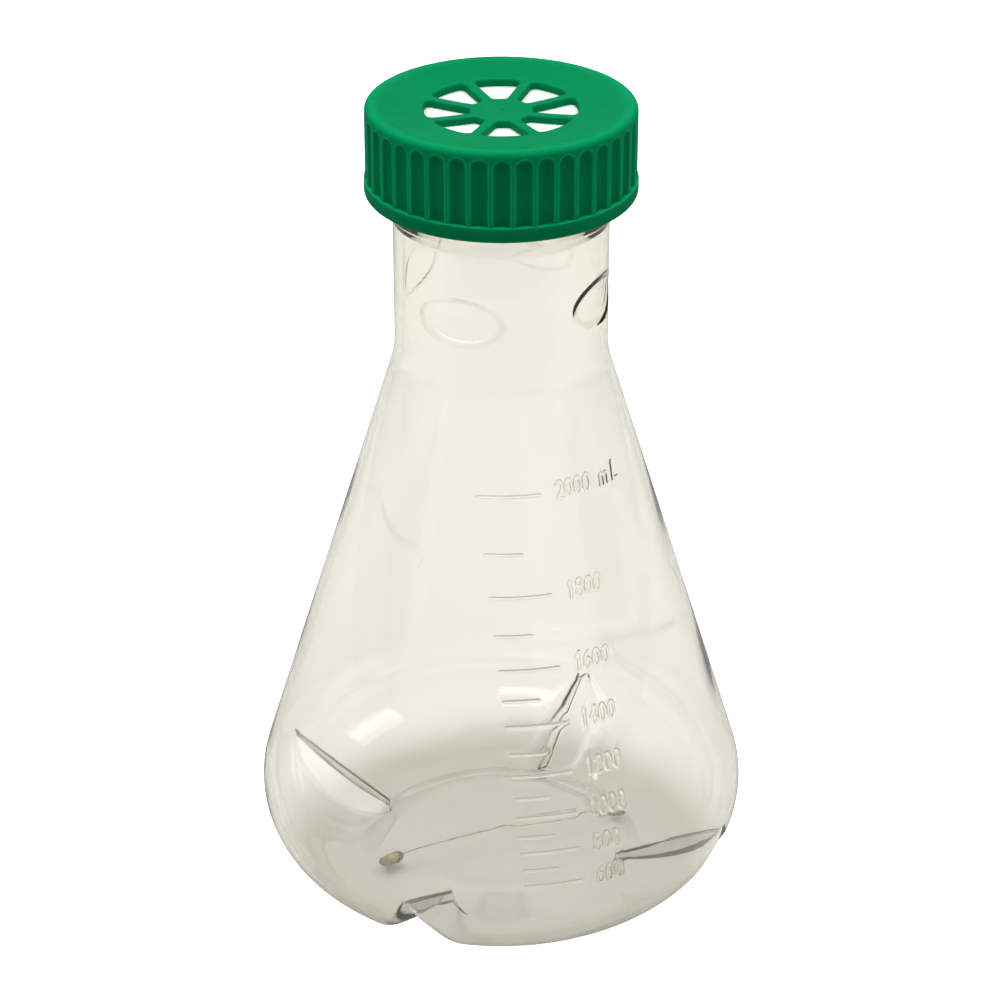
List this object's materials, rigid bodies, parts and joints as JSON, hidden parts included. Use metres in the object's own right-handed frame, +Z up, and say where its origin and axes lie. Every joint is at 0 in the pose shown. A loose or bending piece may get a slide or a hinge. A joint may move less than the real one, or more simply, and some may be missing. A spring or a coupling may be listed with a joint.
{
  "type": "baffled erlenmeyer flask",
  "caption": "Clear conical shaker flask with baffles pressed into its base, moulded volume marks and a fluted screw cap with a vented lid.",
  "frame": {"origin": "centre of the foot ring, in the plane the flask stands on", "axes": "+Z up along the flask's axis; -Y faces the moulded volume marks; +X to the right when the marks are read"},
  "size_m": [0.163, 0.163, 0.2757],
  "materials": {
    "clear_polycarbonate": "clear, faintly warm blow-moulded plastic",
    "green_polypropylene": "satin injection-moulded plastic",
    "white_membrane": "smooth white gas-permeable film",
    "white_nonwoven": "matt white fibre felt",
    "silicone": "matt translucent white elastomer"
  },
  "bodies": {
    "flask": {"flask_body": "clear_polycarbonate"},
    "seal": {"seal_ring": "silicone"},
    "cap": {"cap_shell": "green_polypropylene", "vent_membrane": "white_membrane", "membrane_backing": "white_nonwoven"}
  },
  "joints": [
    {"name": "cap_rise", "type": "slide", "parent": "flask", "child": "seal", "axis": [0, 0, 1], "range_m": [0, 0.025]},
    {"name": "cap_turn", "type": "hinge", "parent": "seal", "child": "cap", "pos_m": [0, 0, 0.26], "axis": [0, 0, 1], "range_deg": [0, 1800]}
  ],
  "couplings": [
    {"joint": "cap_rise", "follows": "cap_turn", "m_per_rad": 0.00079577}
  ]
}
